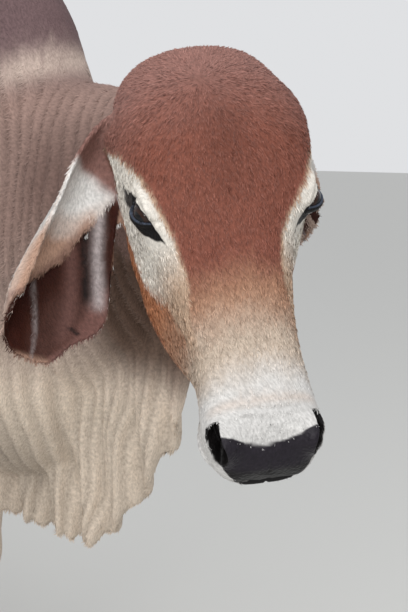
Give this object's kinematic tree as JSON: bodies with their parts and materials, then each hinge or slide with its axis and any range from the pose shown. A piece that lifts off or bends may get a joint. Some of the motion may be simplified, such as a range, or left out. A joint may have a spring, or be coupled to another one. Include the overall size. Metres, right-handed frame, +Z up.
{
  "type": "brahman bull",
  "caption": "Humped, lop-eared bull standing on cloven hooves, its head lowered a little and turned to its right, with a pleated dewlap and a hanging tail.",
  "frame": {"origin": "on the floor, under the middle of the bull's bounding box", "axes": "+Z up, the bull's body looks along -Y, +X is its left side"},
  "size_m": [0.7522, 2.459, 1.6575],
  "materials": {
    "brown_hide": "short glossy red-brown hair",
    "grey_hide": "short grey-mauve hair over folded skin",
    "pale_hide": "short cream hair",
    "eye": "wet, dark brown",
    "horn": "dark worn horn",
    "dark_hair": "long coarse hair"
  },
  "bodies": {
    "root": {"head": "brown_hide", "jaw": "pale_hide", "eye_right": "eye", "eye_left": "eye", "ear_right": "brown_hide", "ear_left": "brown_hide", "neck": "grey_hide", "dewlap": "pale_hide", "hump": "grey_hide", "torso": "grey_hide", "sheath": "grey_hide", "scrotum": "grey_hide", "tail": "grey_hide", "tail_switch": "dark_hair", "foreleg_right_upper": "pale_hide", "foreleg_right_lower": "pale_hide", "foreleg_right_claw_outer": "horn", "foreleg_right_claw_inner": "horn", "foreleg_left_upper": "pale_hide", "foreleg_left_lower": "pale_hide", "foreleg_left_claw_outer": "horn", "foreleg_left_claw_inner": "horn", "hindleg_right_upper": "pale_hide", "hindleg_right_lower": "pale_hide", "hindleg_right_claw_outer": "horn", "hindleg_right_claw_inner": "horn", "hindleg_left_upper": "pale_hide", "hindleg_left_lower": "pale_hide", "hindleg_left_claw_outer": "horn", "hindleg_left_claw_inner": "horn"}
  },
  "joints": []
}
